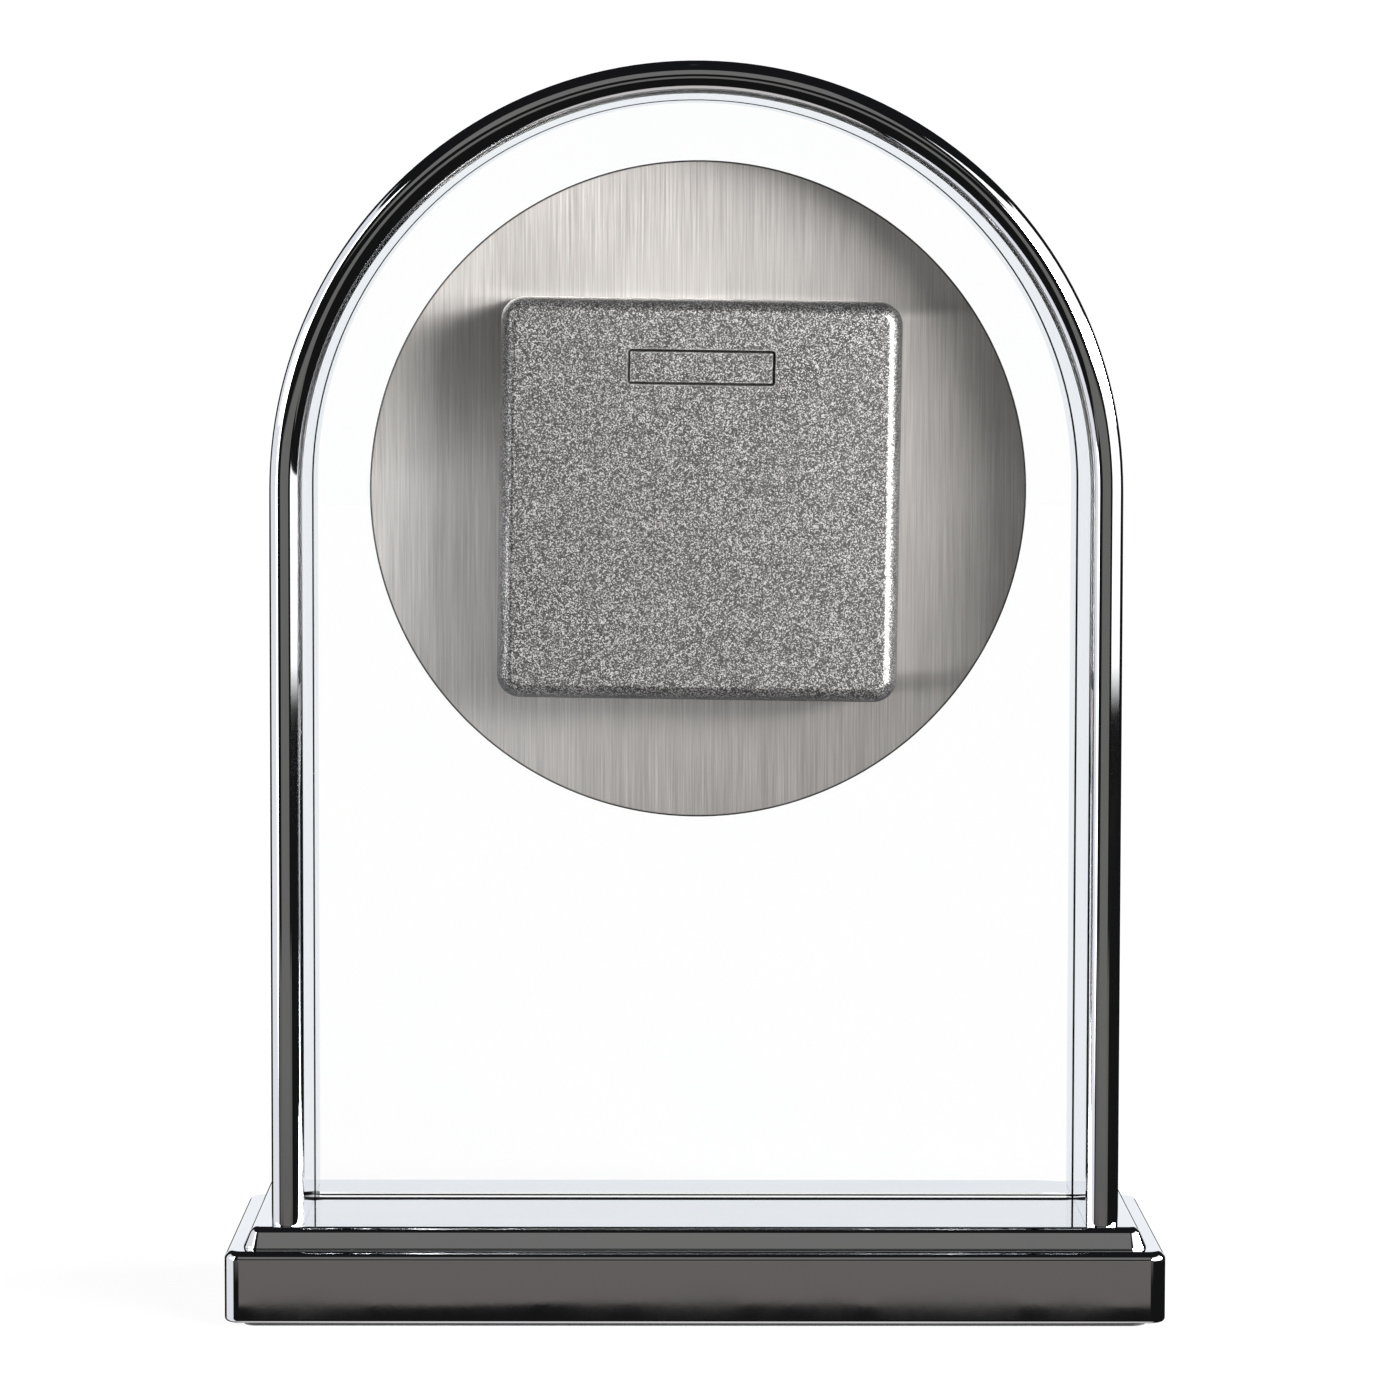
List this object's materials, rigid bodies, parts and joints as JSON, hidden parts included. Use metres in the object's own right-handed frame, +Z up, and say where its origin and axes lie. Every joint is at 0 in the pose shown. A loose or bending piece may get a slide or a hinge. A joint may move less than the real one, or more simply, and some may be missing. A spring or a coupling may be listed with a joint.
{
  "type": "flip number clock",
  "caption": "Desk clock with split-leaf number drums in a square movement, held by a clear panel and round backing disc inside a polished metal arch on a stepped base.",
  "frame": {"origin": "centre of the underside of the felt pad, where the clock stands", "axes": "+Z up; the numbers face -Y and the battery cover faces +Y; +X is to the right of a person who reads the numbers"},
  "size_m": [0.1332, 0.051, 0.1785],
  "materials": {
    "chrome": "polished mirror plating",
    "brushed_steel": "vertical brushed grain",
    "cover_silver": "silver paint with a fine sand texture",
    "clear_glass": "clear and polished",
    "black_plastic": "moulded, matte",
    "gear_plastic": "natural acetal",
    "leaf_plastic": "satin black sheet",
    "bright_steel": "plated, satin",
    "cast_iron": "as cast, painted dark grey",
    "felt": "pressed felt",
    "circuit_board": "green solder mask",
    "battery_jacket": "plain satin jacket",
    "brass": "machined"
  },
  "bodies": {
    "root": {"felt_pad": "felt", "base_slab": "chrome", "base_step": "chrome", "base_weight": "cast_iron", "base_screw_left": "bright_steel", "base_screw_right": "bright_steel", "arch_frame": "chrome", "glass_panel": "clear_glass", "backing_disc": "brushed_steel", "front_bezel": "chrome", "front_lens": "clear_glass", "movement_chassis": "black_plastic", "drum_axle": "bright_steel", "hours_bridge": "black_plastic", "tens_bridge": "black_plastic", "gear_motor": "bright_steel", "battery": "battery_jacket", "battery_contact_positive": "bright_steel", "battery_contact_negative": "bright_steel", "circuit_board": "circuit_board", "leaf_catch": "bright_steel"},
    "rear_cover": {"rear_cover": "cover_silver"},
    "hours_drum": {"hours_drum": "black_plastic", "hours_leaf_02": "leaf_plastic", "hours_leaf_03": "leaf_plastic", "hours_leaf_04": "leaf_plastic", "hours_leaf_05": "leaf_plastic", "hours_leaf_06": "leaf_plastic", "hours_leaf_07": "leaf_plastic", "hours_leaf_08": "leaf_plastic", "hours_leaf_09": "leaf_plastic", "hours_leaf_10": "leaf_plastic", "hours_leaf_11": "leaf_plastic", "hours_leaf_12": "leaf_plastic"},
    "hours_falling_leaf": {"hours_leaf_01": "leaf_plastic"},
    "tens_drum": {"tens_drum": "black_plastic", "tens_leaf_02": "leaf_plastic", "tens_leaf_03": "leaf_plastic", "tens_leaf_04": "leaf_plastic", "tens_leaf_05": "leaf_plastic", "tens_leaf_06": "leaf_plastic"},
    "tens_falling_leaf": {"tens_leaf_01": "leaf_plastic"},
    "units_drum": {"units_drum": "black_plastic", "units_leaf_02": "leaf_plastic", "units_leaf_03": "leaf_plastic", "units_leaf_04": "leaf_plastic", "units_leaf_05": "leaf_plastic", "units_leaf_06": "leaf_plastic", "units_leaf_07": "leaf_plastic", "units_leaf_08": "leaf_plastic", "units_leaf_09": "leaf_plastic", "units_leaf_10": "leaf_plastic"},
    "units_falling_leaf": {"units_leaf_01": "leaf_plastic"},
    "hours_transfer_gear": {"hours_transfer_gear": "gear_plastic"},
    "tens_transfer_gear": {"tens_transfer_gear": "gear_plastic"},
    "reduction_gear": {"reduction_gear": "gear_plastic"},
    "motor_pinion": {"motor_pinion": "brass"},
    "setting_wheel": {"setting_wheel": "black_plastic"}
  },
  "joints": [
    {"name": "units_drum_spin", "type": "hinge", "parent": "root", "child": "units_drum", "pos_m": [-0.0004, -0.0015, 0.1166], "axis": [1, 0, 0], "continuous": true},
    {"name": "tens_drum_spin", "type": "hinge", "parent": "root", "child": "tens_drum", "pos_m": [-0.0004, -0.0015, 0.1166], "axis": [1, 0, 0], "continuous": true},
    {"name": "hours_drum_spin", "type": "hinge", "parent": "root", "child": "hours_drum", "pos_m": [-0.0004, -0.0015, 0.1166], "axis": [1, 0, 0], "continuous": true},
    {"name": "tens_transfer_gear_spin", "type": "hinge", "parent": "root", "child": "tens_transfer_gear", "pos_m": [-0.0004, 0.00416, 0.12226], "axis": [1, 0, 0], "continuous": true},
    {"name": "hours_transfer_gear_spin", "type": "hinge", "parent": "root", "child": "hours_transfer_gear", "pos_m": [-0.0004, 0.00416, 0.12226], "axis": [1, 0, 0], "continuous": true},
    {"name": "reduction_gear_spin", "type": "hinge", "parent": "root", "child": "reduction_gear", "pos_m": [-0.0004, -0.008, 0.10651], "axis": [1, 0, 0], "continuous": true},
    {"name": "motor_pinion_spin", "type": "hinge", "parent": "root", "child": "motor_pinion", "pos_m": [-0.0004, -0.008, 0.09851], "axis": [1, 0, 0], "continuous": true},
    {"name": "setting_wheel_spin", "type": "hinge", "parent": "root", "child": "setting_wheel", "pos_m": [-0.0004, 0.00915, 0.10914], "axis": [1, 0, 0], "continuous": true},
    {"name": "hours_leaf_fall", "type": "hinge", "parent": "hours_drum", "child": "hours_falling_leaf", "pos_m": [-0.0004, -0.006, 0.11676], "axis": [1, 0, 0], "range_deg": [0, 180]},
    {"name": "tens_leaf_fall", "type": "hinge", "parent": "tens_drum", "child": "tens_falling_leaf", "pos_m": [-0.0004, -0.00573, 0.11814], "axis": [1, 0, 0], "range_deg": [0, 180]},
    {"name": "units_leaf_fall", "type": "hinge", "parent": "units_drum", "child": "units_falling_leaf", "pos_m": [-0.0004, -0.00596, 0.11723], "axis": [1, 0, 0], "range_deg": [0, 180]},
    {"name": "cover_pull", "type": "slide", "parent": "root", "child": "rear_cover", "axis": [0, 1, 0], "range_m": [0, 0.03]}
  ],
  "couplings": [
    {"joint": "tens_drum_spin", "follows": "units_drum_spin", "ratio": 0.16667},
    {"joint": "hours_drum_spin", "follows": "units_drum_spin", "ratio": 0.013889},
    {"joint": "tens_transfer_gear_spin", "follows": "units_drum_spin", "ratio": -0.66667},
    {"joint": "hours_transfer_gear_spin", "follows": "units_drum_spin", "ratio": -0.055556},
    {"joint": "reduction_gear_spin", "follows": "units_drum_spin", "ratio": -5},
    {"joint": "motor_pinion_spin", "follows": "units_drum_spin", "ratio": 15},
    {"joint": "setting_wheel_spin", "follows": "units_drum_spin", "ratio": -3.3333}
  ]
}
